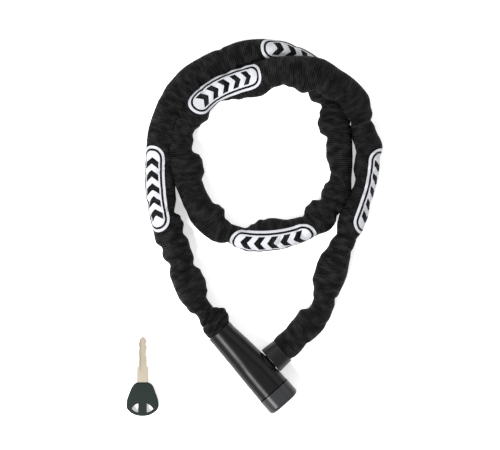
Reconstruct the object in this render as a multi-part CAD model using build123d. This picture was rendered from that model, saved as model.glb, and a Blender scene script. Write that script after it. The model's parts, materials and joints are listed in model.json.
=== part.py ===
from build123d import *

import math
import os

# Chain lock: a square-link chain in a fabric sleeve, with a cylinder lock on one end and a bolt on the other.
# Frame: X along the lock towards the key end, Y out of the bolt socket, Z up. z = 0 is the surface that the
# lock lies on, and the origin is on it, under the crossing of the cylinder axis and the socket axis.
# Sizes are millimetres. The lock is stored with the bolt home and the plug turned to "open".

# Casing
AXIS_Z = 13.75          # cylinder axis and socket axis above the surface
BODY_HEIGHT = 27.7      # at the cap, before its underside is cut flat at z = 0
BODY_SIDES_Y = (-14.0, 16.3)    # at the cap: away from the socket, and round it
BODY_WIDTH = BODY_SIDES_Y[1] - BODY_SIDES_Y[0]
BODY_Y = (BODY_SIDES_Y[1] + BODY_SIDES_Y[0]) / 2
BODY_CORNER = 11.0
BODY_WALL = 2.0
MOUTH_RADIUS = 12.1     # round end, where the sleeve goes in
MOUTH_BORE = 10.8
MOUTH_EDGE = 1.0
ROUND_END_FLAT = 0.15   # its section is a rounded square too, with flats this half-width
MOUTH_Y = 0.0
MOUTH_Z = 12.75
CHAIN_END_X = -50.0
TAPER_FROM_X = -44.0
ROUND_TO_X = -30.0
SQUARE_FROM_X = -2.0
SEAM_X = 21.2
CAP_END_X = 36.6
CAP_PROUD = 0.25        # how far the cap stands out of the casing all round
CAP_EDGE = 3.2
SEAM_CHAMFER = 0.35

# Steel core
BARREL_SIZE = 21.6
BARREL_CORNER = 7.5
BARREL_FROM_X = -8.0
BARREL_TO_X = 20.5
NECK_RADIUS = 9.9
FORK_END_X = -24.0
FORK_FLOOR_X = -11.6
FORK_GAP = 5.6
ANCHOR_X = -20.0
ANCHOR_RADIUS = 2.5

# Bolt and its socket
BOLT_RADIUS = 5.0
BOLT_BORE = 5.08
BOLT_TIP_Y = -8.0
BOLT_GROOVE_RADIUS = 2.8
BOLT_GROOVE_Y = (-6.2, -2.8)
COLLAR_NEAR_Y = 16.6
COLLAR_FAR_Y = 30.5
COLLAR_NEAR_RADIUS = 12.6
COLLAR_FAR_RADIUS = 11.7
COLLAR_FLOOR = 1.6
COLLAR_BORE = 10.4
COLLAR_RING_BORE = 9.8
RIVET_Y = 28.2
RIVET_RADIUS = 2.5
EAR_HALF = 6.3          # the bolt's two ears, from outside to outside
FLANGE_THICKNESS = 2.0
SEAL_RADIUS = 11.1
SEAL_BORE = 7.2
SEAL_Y = (11.45, 15.6)
BUSH_BORE = 5.3
BUSH_TO_Y = 14.2

# Cylinder
PLUG_RADIUS = 6.0
PLUG_RUNNING_FIT = 0.05
PLUG_X = (12.0, 35.5)
HOUSING_RADIUS = 8.4
HOUSING_X = (9.6, 34.0)
HOUSING_PIN_X = 14.0
HOUSING_PIN_RADIUS = 1.5
CAM_RADIUS = 7.2
CAM_X = (9.8, 11.6)
CAM_PIN_X = 13.2        # cross pin that holds the cam's tang in the plug
CAM_PIN_RADIUS = 0.6
TANG_END_X = 14.4
TANG_HALF = 1.75
CRANK = 2.2             # eccentric pin off the plug's axis, and so the latch's travel
CRANK_PIN_RADIUS = 1.5
KEYWAY_WIDTH = 2.6
KEYWAY_HEIGHT = 8.2
KEYWAY_FROM_X = 15.5
WAFER_X = [17.0, 20.0, 23.0, 26.0, 29.0]
WAFER_THICKNESS = 0.9
WAFER_HALF_WIDTH = 3.4
WAFER_HALF_HEIGHT = 4.9
WAFER_TRAVEL = 0.9
WAFER_WINDOW_HALF = 1.5
WAFER_SPRING_Y = 2.75
WAFER_LUG_Z = -0.5
WAFER_SPRING_FLOOR_Z = -3.5

# Latch slide
LATCH_PLATE_X = (6.2, 9.2)
LATCH_ARM_Y = (-5.8, -3.2)
LATCH_ARM_X = -3.0
LATCH_ARM_Z = (5.3, 8.0)
LATCH_PLATE_HALF = 6.6
LATCH_PLATE_BOTTOM = -5.5
LATCH_WINDOW_HALF = 2.1
LATCH_SPRING_XY = (1.0, -4.5)
LATCH_SPRING_TOP = 10.9
LATCH_POCKET_RADIUS = 1.9

# Chain: square bar, links alternately flat and upright
BAR = 5.0
LINK_INSIDE = 18.0
LINK_WIDTH = 18.6
LINK_EDGE = 0.9
LINK_END_PLAY = 0.2     # between a pin and the link's inner end
LINK_PLAY = 1.3         # the pitch is at least this much under a link's inside length
FLEXING_LINKS = 7       # links beside the bolt that shift when it is pulled
END_REACH = LINK_INSIDE / 2 - ANCHOR_RADIUS - LINK_END_PLAY
FIRST_LINK = Vector(ANCHOR_X - END_REACH, MOUTH_Y, MOUTH_Z)
LAST_LINK = Vector(0, RIVET_Y + END_REACH, AXIS_Z)

# Sleeve
SLEEVE_RADIUS = 10.7
SLEEVE_BORE = 10.1
SLEEVE_DEPTH = 2.0      # how far it goes into the casing's mouth
RESTING_Z = SLEEVE_RADIUS
ARC_SHARE = 0.45        # of the shorter run, taken by each arc's tangent
HUMP_Z = 35.0           # sleeve's axis where it lies over itself

# The sleeve's route from the casing's mouth to the collar
ROUTE = [
    (CHAIN_END_X + SLEEVE_DEPTH, MOUTH_Y, MOUTH_Z),
    (-70, MOUTH_Y, MOUTH_Z),
    (-106, 8, RESTING_Z),
    (-146, 23, RESTING_Z),
    (-183, 45, RESTING_Z),
    (-214, 72, RESTING_Z),
    (-232, 102, RESTING_Z),
    (-235, 136, RESTING_Z),
    (-226, 169, RESTING_Z),
    (-206, 199, RESTING_Z),
    (-176, 215, RESTING_Z),
    (-142, 213, RESTING_Z),
    (-109, 192, RESTING_Z),
    (-80, 168, RESTING_Z),
    (-65, 143, RESTING_Z),
    (-66, 115, RESTING_Z),
    (-82, 87, RESTING_Z),
    (-103, 66, RESTING_Z),
    (-130, 57, RESTING_Z),
    (-160, 63, RESTING_Z),
    (-191, 80, RESTING_Z),
    (-207, 108, RESTING_Z),
    (-206, 138, RESTING_Z),
    (-195, 167, 14),
    (-179, 196, HUMP_Z - 1),
    (-151, 220, HUMP_Z),
    (-118, 225, 21),
    (-88, 209, RESTING_Z),
    (-65, 187, RESTING_Z),
    (-49, 160, RESTING_Z),
    (-34, 131, RESTING_Z),
    (-16, 101, RESTING_Z),
    (-3, 72, 11.2),
    (0, 50, AXIS_Z),
    (0, COLLAR_FAR_Y, AXIS_Z),
]
# Points of the route that each stretch of sleeve ends at. The last one flexes with the bolt.
STRETCHES = {
    "sleeve_outer_left": (0, 5),
    "sleeve_outer_top": (5, 11),
    "sleeve_inner_right": (11, 17),
    "sleeve_inner_left": (17, 23),
    "sleeve_hump": (23, 27),
    "sleeve_outer_right": (27, 31),
    "sleeve_at_bolt": (31, 34),
}

# Key, modelled pointing along +Y with its middle at the origin, then laid beside the lock
KEY_PLACE = (-64.4, -78.6, 0)
KEY_LENGTH_AXIS = (-0.751, 0.660, 0)
KEY_TIP = 35.3
KEY_THICKNESS = 2.2
KEY_BLADE_HALF = 3.8
KEY_SHOULDER = 8.3
KEY_SHOULDER_HALF = 4.9
HEAD_TOP = -5.6
HEAD_BOTTOM = -35.3
HEAD_THICKNESS = 6.0
HEAD_HALF = 14.1
RIB_HALF = 3.7
# Depth of each cut in the blade's two edges, from the tip to the shoulder, one each CUT_PITCH
CUT_PITCH = 3.0
LEFT_CUTS = [0.9, 0.2, 0.9, 0.5, 0.0, 0.7]
RIGHT_CUTS = [0.3, 1.0, 0.2, 0.8, 1.0, 0.4]


def save(name, shapes):
    """Write one node: a list of solids, or one."""
    solids = []
    for shape in shapes if isinstance(shapes, list) else [shapes]:
        solids += shape.solids()
    part = solids[0] if len(solids) == 1 else Compound(children=solids)
    export_step(part, f"parts/{name}.step")


def box(x, y, z):
    """A box from three (low, high) pairs."""
    size = [high - low for low, high in (x, y, z)]
    middle = [(high + low) / 2 for low, high in (x, y, z)]
    return Pos(*middle) * Box(*size)


def rod_x(radius, x, y=0.0, z=AXIS_Z):
    return Pos((x[0] + x[1]) / 2, y, z) * Rot(0, 90, 0) * Cylinder(radius, x[1] - x[0])


def rod_y(radius, y, x=0.0, z=AXIS_Z):
    return Pos(x, (y[0] + y[1]) / 2, z) * Rot(-90, 0, 0) * Cylinder(radius, y[1] - y[0])


def rod_z(radius, z, x=0.0, y=0.0):
    return Pos(x, y, (z[0] + z[1]) / 2) * Cylinder(radius, z[1] - z[0])


def above_axis(low, high):
    return (AXIS_Z + low, AXIS_Z + high)


def square_face(x, width, height, corner, y=0.0, z=AXIS_Z):
    """A rounded rectangle across the lock at x."""
    plane = Plane(origin=(x, y, z), x_dir=(0, 1, 0), z_dir=(1, 0, 0))
    return plane * RectangleRounded(width, height, corner)


def square_bar(x, width, height, corner, y=0.0):
    return extrude(square_face(x[0], width, height, corner, y), x[1] - x[0], dir=(1, 0, 0))


def body_form(inset, mouth_radius):
    """The casing's form: its sides widen to the cap, and its round section turns to a square one on the way."""
    faces = []
    far_side = BODY_SIDES_Y[0] + inset
    socket_side = BODY_SIDES_Y[1] - inset
    steps = 10
    for step in range(steps + 1):
        share = step / steps
        x = TAPER_FROM_X + (SEAM_X - TAPER_FROM_X) * share
        turn = min(max((x - ROUND_TO_X) / (SQUARE_FROM_X - ROUND_TO_X), 0), 1)
        ease = turn * turn * (3 - 2 * turn)
        low_y = (MOUTH_Y - mouth_radius) * (1 - share) + far_side * share
        high_y = (MOUTH_Y + mouth_radius) * (1 - share) ** 2 + socket_side * (1 - (1 - share) ** 2)
        width = high_y - low_y
        height = 2 * mouth_radius * (1 - ease) + (BODY_HEIGHT - 2 * inset) * ease
        round_corner = min(width, height) / 2 - ROUND_END_FLAT
        corner = round_corner * (1 - ease) + (BODY_CORNER - inset) * ease
        z = MOUTH_Z * (1 - ease) + AXIS_Z * ease
        faces.append(square_face(x, width, height, corner, (low_y + high_y) / 2, z))
    round_end = extrude(faces[0], TAPER_FROM_X - CHAIN_END_X, dir=(-1, 0, 0))
    if inset == 0:
        round_end = fillet(round_end.edges().group_by(Axis.X)[0], MOUTH_EDGE)
    return round_end + loft(faces)


def below_surface():
    return box((CHAIN_END_X, CAP_END_X), (-BODY_WIDTH, BODY_WIDTH), (-5, 0))


def lock_casing():
    shell = body_form(0, MOUTH_RADIUS) - body_form(BODY_WALL, MOUTH_BORE)
    return shell - rod_y(SEAL_RADIUS + 0.1, (5, BODY_WIDTH)) - below_surface()


def end_cap():
    width = BODY_WIDTH + 2 * CAP_PROUD
    height = BODY_HEIGHT + 2 * CAP_PROUD
    outside = square_bar((SEAM_X, CAP_END_X), width, height, BODY_CORNER + CAP_PROUD, BODY_Y)
    outside = fillet(outside.edges().group_by(Axis.X)[-1], CAP_EDGE)
    outside = chamfer(outside.edges().group_by(Axis.X)[0], SEAM_CHAMFER)
    inside_width = BODY_WIDTH - 2 * BODY_WALL
    inside_height = BODY_HEIGHT - 2 * BODY_WALL
    inside_x = (SEAM_X, HOUSING_X[1] + 0.2)
    inside = square_bar(inside_x, inside_width, inside_height, BODY_CORNER - BODY_WALL, BODY_Y)
    keyhole = rod_x(PLUG_RADIUS + 0.3, (SEAM_X, CAP_END_X + 1))
    dish = Pos(CAP_END_X, 0, AXIS_Z) * Rot(0, 90, 0) * Cone(PLUG_RADIUS + 0.3, PLUG_RADIUS + 1.7, 1.4)
    return outside - inside - keyhole - dish - below_surface()


def lock_barrel():
    block = square_bar((BARREL_FROM_X, BARREL_TO_X), BARREL_SIZE, BARREL_SIZE, BARREL_CORNER)
    neck = rod_x(NECK_RADIUS, (FORK_END_X, BARREL_FROM_X), MOUTH_Y, MOUTH_Z)
    fork_gap = box((FORK_END_X, FORK_FLOOR_X), (-20, 20), (MOUTH_Z - FORK_GAP / 2, MOUTH_Z + FORK_GAP / 2))
    anchor_hole = rod_z(ANCHOR_RADIUS, (0, 30), ANCHOR_X, MOUTH_Y)
    socket = rod_y(BOLT_BORE, (BOLT_TIP_Y - 1.5, 20))
    cylinder_bore = rod_x(HOUSING_RADIUS + 0.05, (HOUSING_X[0], BARREL_TO_X))
    plate_slot = box((LATCH_PLATE_X[0] - 0.3, HOUSING_X[0]), (-7, 7), above_axis(-8.3, 8.35))
    arm_slot = box(
        (LATCH_ARM_X - 0.4, HOUSING_X[0]),
        (LATCH_ARM_Y[0] - 0.4, LATCH_ARM_Y[1] + 0.4),
        above_axis(LATCH_ARM_Z[0] - CRANK - 0.6, LATCH_ARM_Z[1] + 0.35),
    )
    spring_pocket = rod_z(LATCH_POCKET_RADIUS, above_axis(LATCH_ARM_Z[0], LATCH_SPRING_TOP), *LATCH_SPRING_XY)
    pin_hole = rod_z(HOUSING_PIN_RADIUS, above_axis(HOUSING_RADIUS - 1, BARREL_SIZE), HOUSING_PIN_X)
    solid = block + neck
    for cut in (fork_gap, anchor_hole, socket, cylinder_bore, plate_slot, arm_slot, spring_pocket, pin_hole):
        solid -= cut
    return solid


def anchor_pin():
    return rod_z(ANCHOR_RADIUS, (MOUTH_Z - NECK_RADIUS + 0.5, MOUTH_Z + NECK_RADIUS - 0.5), ANCHOR_X, MOUTH_Y)


def mouth_ring():
    span = (CHAIN_END_X + SLEEVE_DEPTH, CHAIN_END_X + SLEEVE_DEPTH + 5)
    return rod_x(MOUTH_BORE - 0.08, span, MOUTH_Y, MOUTH_Z) - rod_x(SLEEVE_BORE, span, MOUTH_Y, MOUTH_Z)


def socket_seal():
    ring = rod_y(SEAL_RADIUS, SEAL_Y)
    outer_edge = ring.edges().filter_by(GeomType.CIRCLE).group_by(Axis.Y)[-1]
    return fillet(outer_edge, 1.0) - rod_y(SEAL_BORE, (0, 30))


def socket_bush():
    return rod_y(SEAL_BORE, (BARREL_SIZE / 2, BUSH_TO_Y)) - rod_y(BUSH_BORE, (0, 30))


def cylinder_housing():
    tube = rod_x(HOUSING_RADIUS, HOUSING_X)
    bore = rod_x(PLUG_RADIUS + PLUG_RUNNING_FIT, (HOUSING_X[0], HOUSING_X[1] + 1))
    cam_space = rod_x(CAM_RADIUS + 0.3, (HOUSING_X[0] - 1, PLUG_X[0] - 0.2))
    # One groove for the wafers at each end of the plug's turn, so the key comes out locked or open.
    groove_reach = PLUG_RADIUS + WAFER_TRAVEL + 0.2
    groove_half = WAFER_HALF_WIDTH + 0.3
    groove_x = (WAFER_X[0] - 1, WAFER_X[-1] + 1)
    locked_groove = box(groove_x, (-groove_half, groove_half), above_axis(0, groove_reach))
    open_groove = box(groove_x, (0, groove_reach), above_axis(-groove_half, groove_half))
    pin_hole = rod_z(HOUSING_PIN_RADIUS, above_axis(PLUG_RADIUS - 3, HOUSING_RADIUS + 1), HOUSING_PIN_X)
    return tube - bore - cam_space - locked_groove - open_groove - pin_hole


def housing_pin():
    return rod_z(HOUSING_PIN_RADIUS, above_axis(PLUG_RADIUS + 0.4, BARREL_SIZE / 2 - 0.1), HOUSING_PIN_X)


def cylinder_plug():
    plug = rod_x(PLUG_RADIUS, PLUG_X)
    half_way = KEYWAY_WIDTH / 2
    keyway_z = above_axis(-KEYWAY_HEIGHT / 2, KEYWAY_HEIGHT / 2)
    plug -= box((KEYWAY_FROM_X, PLUG_X[1] + 1), (-half_way, half_way), keyway_z)
    tang_half = TANG_HALF + 0.05
    plug -= box((PLUG_X[0] - 1, TANG_END_X + 0.1), (-tang_half, tang_half), above_axis(-tang_half, tang_half))
    plug -= rod_y(CAM_PIN_RADIUS, (-10, 10), CAM_PIN_X)
    for x in WAFER_X:
        slot_x = (x - WAFER_THICKNESS / 2 - 0.1, x + WAFER_THICKNESS / 2 + 0.1)
        spring_side = (2.0, WAFER_HALF_WIDTH + 0.15)
        plug -= box(slot_x, (-WAFER_HALF_WIDTH - 0.15, spring_side[0]), above_axis(-8, 8))
        plug -= box(slot_x, spring_side, above_axis(WAFER_SPRING_FLOOR_Z, 8))
    return plug


def wafer(x):
    span = (x - WAFER_THICKNESS / 2, x + WAFER_THICKNESS / 2)
    plate = box(span, (-WAFER_HALF_WIDTH, WAFER_HALF_WIDTH), above_axis(-WAFER_HALF_HEIGHT, WAFER_HALF_HEIGHT))
    window_z = above_axis(-KEYWAY_HEIGHT / 2, KEYWAY_HEIGHT / 2)
    window = box(span, (-WAFER_WINDOW_HALF, WAFER_WINDOW_HALF), window_z)
    spring_gap = box(span, (1.9, 5), above_axis(-WAFER_HALF_HEIGHT, WAFER_LUG_Z))
    return plate - window - spring_gap


def coil_spring(radius, wire, height, turns, place):
    """A coil standing on its place along +Z."""
    helix = Helix(pitch=(height - 2 * wire) / turns, height=height - 2 * wire, radius=radius)
    start = Plane(origin=helix @ 0, z_dir=helix % 0)
    return Pos(place[0], place[1], place[2] + wire) * sweep(start * Circle(wire), path=helix, is_frenet=True)


def wafer_springs():
    height = WAFER_LUG_Z - WAFER_SPRING_FLOOR_Z
    bottom = AXIS_Z + WAFER_SPRING_FLOOR_Z
    return [coil_spring(0.32, 0.1, height, 4, (x, WAFER_SPRING_Y, bottom)) for x in WAFER_X]


def latch_spring():
    bottom = AXIS_Z + LATCH_ARM_Z[1]
    return coil_spring(1.3, 0.25, LATCH_SPRING_TOP - LATCH_ARM_Z[1], 3, (*LATCH_SPRING_XY, bottom))


def plug_cam():
    disc = rod_x(CAM_RADIUS, CAM_X)
    tang = box((CAM_X[1], TANG_END_X), (-TANG_HALF, TANG_HALF), above_axis(-TANG_HALF, TANG_HALF))
    crank_pin = rod_x(CRANK_PIN_RADIUS, (LATCH_PLATE_X[0] + 0.2, CAM_X[0]), CRANK)
    return disc + tang + crank_pin - rod_y(CAM_PIN_RADIUS, (-10, 10), CAM_PIN_X)


def cam_pin():
    return rod_y(CAM_PIN_RADIUS, (-PLUG_RADIUS + 0.4, PLUG_RADIUS - 0.4), CAM_PIN_X)


def latch_slide():
    plate_z = above_axis(LATCH_PLATE_BOTTOM, LATCH_ARM_Z[1])
    plate = box(LATCH_PLATE_X, (-LATCH_PLATE_HALF, LATCH_PLATE_HALF), plate_z)
    window_y = (-CRANK_PIN_RADIUS - 0.3, CRANK + CRANK_PIN_RADIUS + 0.3)
    window = box(LATCH_PLATE_X, window_y, above_axis(-LATCH_WINDOW_HALF, LATCH_WINDOW_HALF))
    arm = box((LATCH_ARM_X, LATCH_PLATE_X[0]), LATCH_ARM_Y, above_axis(*LATCH_ARM_Z))
    return plate - window + arm


def bolt_pin():
    shaft = rod_y(BOLT_RADIUS, (BOLT_TIP_Y, COLLAR_NEAR_Y + COLLAR_FLOOR))
    shaft = chamfer(shaft.edges().filter_by(GeomType.CIRCLE).group_by(Axis.Y)[0], 1.2)
    shaft -= rod_y(BOLT_RADIUS + 1, BOLT_GROOVE_Y) - rod_y(BOLT_GROOVE_RADIUS, BOLT_GROOVE_Y)
    flange_y = (COLLAR_NEAR_Y + COLLAR_FLOOR, COLLAR_NEAR_Y + COLLAR_FLOOR + FLANGE_THICKNESS)
    flange = rod_y(COLLAR_BORE - 0.6, flange_y)
    ear_end = RIVET_Y + 3.8
    ear_z = above_axis(-EAR_HALF, EAR_HALF)
    ears = box((-BAR, BAR), (flange_y[1], RIVET_Y), ear_z)
    ears += rod_z(BAR, ear_z, 0, RIVET_Y) & box((-BAR, BAR), (RIVET_Y, ear_end), (0, 30))
    ears -= box((-10, 10), (flange_y[1], ear_end + 1), above_axis(-FORK_GAP / 2, FORK_GAP / 2))
    return shaft + flange + ears - rod_z(RIVET_RADIUS, (0, 30), 0, RIVET_Y)


def bolt_rivet():
    return rod_z(RIVET_RADIUS, above_axis(-EAR_HALF, EAR_HALF), 0, RIVET_Y)


def bolt_collar():
    length = COLLAR_FAR_Y - COLLAR_NEAR_Y
    middle = (COLLAR_FAR_Y + COLLAR_NEAR_Y) / 2
    cone = Pos(0, middle, AXIS_Z) * Rot(-90, 0, 0) * Cone(COLLAR_NEAR_RADIUS, COLLAR_FAR_RADIUS, length)
    rims = cone.edges().filter_by(GeomType.CIRCLE).sort_by(Axis.Y)
    cone = fillet(rims[0], 1.0)
    far_rim = cone.edges().filter_by(GeomType.CIRCLE).sort_by(Axis.Y)[-1]
    cone = fillet(far_rim, 0.6)
    inside = rod_y(COLLAR_BORE, (COLLAR_NEAR_Y + COLLAR_FLOOR, COLLAR_FAR_Y + 1))
    return cone - inside - rod_y(BOLT_RADIUS + 0.1, (0, COLLAR_FAR_Y))


def collar_ring():
    span = (COLLAR_FAR_Y - 4, COLLAR_FAR_Y)
    return rod_y(COLLAR_BORE, span) - rod_y(COLLAR_RING_BORE, span)


def bolt_oring():
    return Pos(0, COLLAR_NEAR_Y - 0.85, AXIS_Z) * Rot(90, 0, 0) * Torus(BOLT_RADIUS + 0.9, 0.85)


def link():
    """One chain link along X, flat, with its middle at the origin."""
    outline = SlotOverall(LINK_INSIDE + 2 * BAR, LINK_WIDTH) - SlotOverall(LINK_INSIDE, LINK_WIDTH - 2 * BAR)
    solid = extrude(outline, BAR / 2, both=True)
    flat_edges = solid.edges().group_by(Axis.Z)
    return chamfer(flat_edges[0] + flat_edges[-1], LINK_EDGE)


def tube_path(points):
    """Straight runs joined by arcs, each as large as its two runs allow."""
    corners = [Vector(*point) for point in points]
    runs = [b - a for a, b in zip(corners, corners[1:])]
    radii = []
    for before, after in zip(runs, runs[1:]):
        half_turn = math.radians(before.get_angle(after) / 2)
        radii.append(ARC_SHARE * min(before.length, after.length) / math.tan(half_turn))
    return FilletPolyline(*corners, radius=radii), radii


def sleeve_stretch(path, first, last):
    """The hollow tube over the pieces of path from first to last, square to the path at both ends."""
    pieces = Wire(path.edges()[first:last])
    start = Plane(origin=pieces @ 0, z_dir=pieces % 0)
    ring = start * (Circle(SLEEVE_RADIUS) - Circle(SLEEVE_BORE))
    return sweep(ring, path=pieces, transition=Transition.RIGHT), pieces.length


def chain_place(path, distance):
    """Point and direction on the chain's line, which starts at the first link and ends at the last."""
    lead_in = Vector(*ROUTE[0]) - FIRST_LINK
    if distance < lead_in.length:
        return FIRST_LINK + lead_in.normalized() * distance, lead_in.normalized()
    distance -= lead_in.length
    if distance < path.length:
        at = distance / path.length
        return path @ at, path % at
    return Vector(*ROUTE[-1]) + Vector(0, -1, 0) * (distance - path.length), Vector(0, -1, 0)


def chain(path):
    """All links, alternately flat and upright, from the anchor pin to the bolt's rivet."""
    total = (Vector(*ROUTE[0]) - FIRST_LINK).length + path.length - (LAST_LINK - Vector(*ROUTE[-1])).length
    count = 2 * math.floor(total / (LINK_INSIDE - LINK_PLAY) / 2 + 1) + 1
    pitch = total / (count - 1)
    model = link()
    links = []
    for number in range(count):
        point, along = chain_place(path, number * pitch)
        level = Vector(0, 0, 1).cross(along).normalized()
        face_up = along.cross(level)
        normal = face_up if number % 2 == 0 else level
        links.append(Plane(origin=point, x_dir=along, z_dir=normal).location * model)
    print(f"chain: {count} links, pitch {pitch:.2f} mm")
    return links


def key_outline(edge_cuts, side):
    """Points down one edge of the blade, from the tip to the shoulder."""
    points = []
    for number, depth in enumerate(edge_cuts):
        y = KEY_TIP - 4.0 - number * CUT_PITCH
        points.append((side * (KEY_BLADE_HALF - depth), y + 0.6))
        points.append((side * (KEY_BLADE_HALF - depth), y - 0.6))
    return points


def key_blade():
    tip = [(-1.6, KEY_TIP - 1.2), (0.3, KEY_TIP), (1.0, KEY_TIP), (3.0, KEY_TIP - 2.6)]
    right = key_outline(RIGHT_CUTS, 1) + [(KEY_BLADE_HALF, KEY_SHOULDER), (KEY_SHOULDER_HALF, KEY_SHOULDER)]
    left = key_outline(LEFT_CUTS, -1) + [(-KEY_BLADE_HALF, KEY_SHOULDER), (-KEY_SHOULDER_HALF, KEY_SHOULDER)]
    bottom = [(KEY_SHOULDER_HALF, HEAD_TOP - 8), (-KEY_SHOULDER_HALF, HEAD_TOP - 8)]
    outline = make_face(Polyline(*tip, *right, *bottom, *reversed(left), close=True))
    low = (HEAD_THICKNESS - KEY_THICKNESS) / 2
    blade = extrude(Pos(0, 0, low) * outline, KEY_THICKNESS)
    for side, x in ((1, -1.2), (-1, 1.7)):
        level = low + (KEY_THICKNESS if side == 1 else 0)
        blade -= box((x - 0.55, x + 0.55), (KEY_SHOULDER - 3, KEY_TIP + 1), (level - 0.6, level + 0.6))
    return blade


def window_outline(side):
    """One of the head's two windows: a triangle with its curved sides along the head's rim."""
    inner_x = side * RIB_HALF
    tip_corner = (side * 9.6, -28.9)
    upper = ThreePointArc((inner_x, -24.0), (side * 7.4, -26.0), tip_corner)
    lower = ThreePointArc(tip_corner, (side * 7.2, -31.2), (inner_x, -32.2))
    return make_face([upper, lower, Line((inner_x, -32.2), (inner_x, -24.0))])


def key_head():
    left_side = Spline((-5.0, HEAD_TOP), (-10.9, -13.0), (-HEAD_HALF, -23.0), (-13.4, -29.2),
                       tangents=[(-1, -0.35), (0.45, -0.9)])
    right_side = Spline((13.4, -29.2), (HEAD_HALF, -23.0), (10.9, -13.0), (5.0, HEAD_TOP),
                        tangents=[(0.45, 0.9), (-1, 0.35)])
    rim = Spline((-13.4, -29.2), (-7.4, -33.8), (0, HEAD_BOTTOM), (7.4, -33.8), (13.4, -29.2))
    top = Line((5.0, HEAD_TOP), (-5.0, HEAD_TOP))
    head = extrude(make_face([left_side, rim, right_side, top]), HEAD_THICKNESS)
    head = chamfer(head.faces().sort_by(Axis.Z)[-1].outer_wire().edges(), 0.8)
    low = (HEAD_THICKNESS - KEY_THICKNESS) / 2
    slot = box((-KEY_SHOULDER_HALF, KEY_SHOULDER_HALF), (HEAD_TOP - 8, HEAD_TOP + 1), (low, low + KEY_THICKNESS))
    head -= slot
    for side in (-1, 1):
        head -= extrude(window_outline(side), HEAD_THICKNESS)
    return head


def lay_key(shape):
    place = Plane(origin=KEY_PLACE, x_dir=Vector(*KEY_LENGTH_AXIS).cross(Vector(0, 0, 1)), z_dir=(0, 0, 1))
    return place.location * shape


def main():
    os.makedirs("parts", exist_ok=True)
    path, radii = tube_path(ROUTE)
    print(f"sleeve: {path.length:.1f} mm, arc radii {[round(radius) for radius in radii]}")
    save("lock_casing", lock_casing())
    save("end_cap", end_cap())
    save("lock_barrel", lock_barrel())
    save("chain_anchor_pin", anchor_pin())
    save("mouth_crimp_ring", mouth_ring())
    save("socket_seal", socket_seal())
    save("socket_bush", socket_bush())
    save("cylinder_housing", cylinder_housing())
    save("housing_pin", housing_pin())
    save("cylinder_plug", cylinder_plug())
    save("plug_cam", plug_cam())
    save("cam_pin", cam_pin())
    save("wafers", [wafer(x) for x in WAFER_X])
    save("wafer_springs", wafer_springs())
    save("latch_slide", latch_slide())
    save("latch_spring", latch_spring())
    save("bolt_pin", bolt_pin())
    save("bolt_rivet", bolt_rivet())
    save("bolt_collar", bolt_collar())
    save("collar_crimp_ring", collar_ring())
    save("bolt_oring", bolt_oring())
    section = math.pi * (SLEEVE_RADIUS ** 2 - SLEEVE_BORE ** 2)
    for name, (first, last) in STRETCHES.items():
        # the path's edges are run, arc, run, arc ..., so route point n is in the middle of edge 2 n - 1
        final = last == len(ROUTE) - 1
        tube, length = sleeve_stretch(path, 2 * first, 2 * last - 1 if final else 2 * last)
        print(f"{name}: {length:.1f} mm, volume / (section x length) {tube.volume / section / length:.4f}")
        save(name, tube)
    links = chain(path)
    flexing = len(links) - 1 - FLEXING_LINKS
    save("chain_links_flat", links[0:flexing:2])
    save("chain_links_upright", links[1:flexing:2])
    save("chain_links_at_bolt", links[flexing:-1])
    save("end_link", links[-1])
    save("key_blade", lay_key(key_blade()))
    save("key_head", lay_key(key_head()))


main()
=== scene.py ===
import json
import math
import random

import bmesh
import bpy
import numpy as np
from mathutils import Matrix, Vector


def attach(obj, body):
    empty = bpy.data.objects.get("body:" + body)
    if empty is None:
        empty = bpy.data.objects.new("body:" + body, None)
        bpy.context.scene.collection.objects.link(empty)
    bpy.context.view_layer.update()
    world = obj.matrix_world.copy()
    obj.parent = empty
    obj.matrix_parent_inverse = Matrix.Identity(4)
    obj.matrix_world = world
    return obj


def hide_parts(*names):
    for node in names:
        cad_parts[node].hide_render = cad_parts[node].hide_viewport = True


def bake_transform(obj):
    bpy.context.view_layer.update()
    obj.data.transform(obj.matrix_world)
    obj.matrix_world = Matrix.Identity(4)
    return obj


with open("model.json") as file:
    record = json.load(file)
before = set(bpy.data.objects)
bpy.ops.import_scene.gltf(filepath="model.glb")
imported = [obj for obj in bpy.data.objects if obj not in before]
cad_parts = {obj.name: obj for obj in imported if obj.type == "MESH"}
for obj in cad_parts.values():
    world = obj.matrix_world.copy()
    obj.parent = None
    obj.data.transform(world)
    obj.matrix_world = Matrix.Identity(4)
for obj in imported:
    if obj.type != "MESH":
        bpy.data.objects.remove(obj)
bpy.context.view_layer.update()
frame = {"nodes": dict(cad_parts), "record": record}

# The looks of the chain lock, in metres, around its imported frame. +X runs along the lock towards the key end,
# +Y out of the bolt socket, +Z up, and the lock, its sleeved chain and its key all lie on z = 0.
MM = 0.001
RNG = random.Random(7)


# ---------------------------------------------------------------- camera

PICTURE_RIGHT = Vector((0.660, 0.751, 0)).normalized()
PICTURE_UP = Vector((-0.751, 0.660, 0)).normalized()
VIEW_CENTRE = Vector((-102.3, 82.0, 12.0)) * MM
VIEW_WIDTH = 442.5 * MM
VIEW_DISTANCE = 1.9


def add_camera():
    data = bpy.data.cameras.new("camera")
    data.sensor_width = 36
    data.lens = data.sensor_width * VIEW_DISTANCE / VIEW_WIDTH
    camera = bpy.data.objects.new("camera", data)
    bpy.context.collection.objects.link(camera)
    place = VIEW_CENTRE + Vector((0, 0, VIEW_DISTANCE))
    columns = (PICTURE_RIGHT, PICTURE_UP, Vector((0, 0, 1)))
    camera.matrix_world = Matrix.Translation(place) @ Matrix(columns).transposed().to_4x4()
    bpy.context.scene.camera = camera


add_camera()


# ---------------------------------------------------------------- small helpers

def new_object(name, mesh):
    made = bpy.data.objects.new(name, mesh)
    bpy.context.collection.objects.link(made)
    return made


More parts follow.
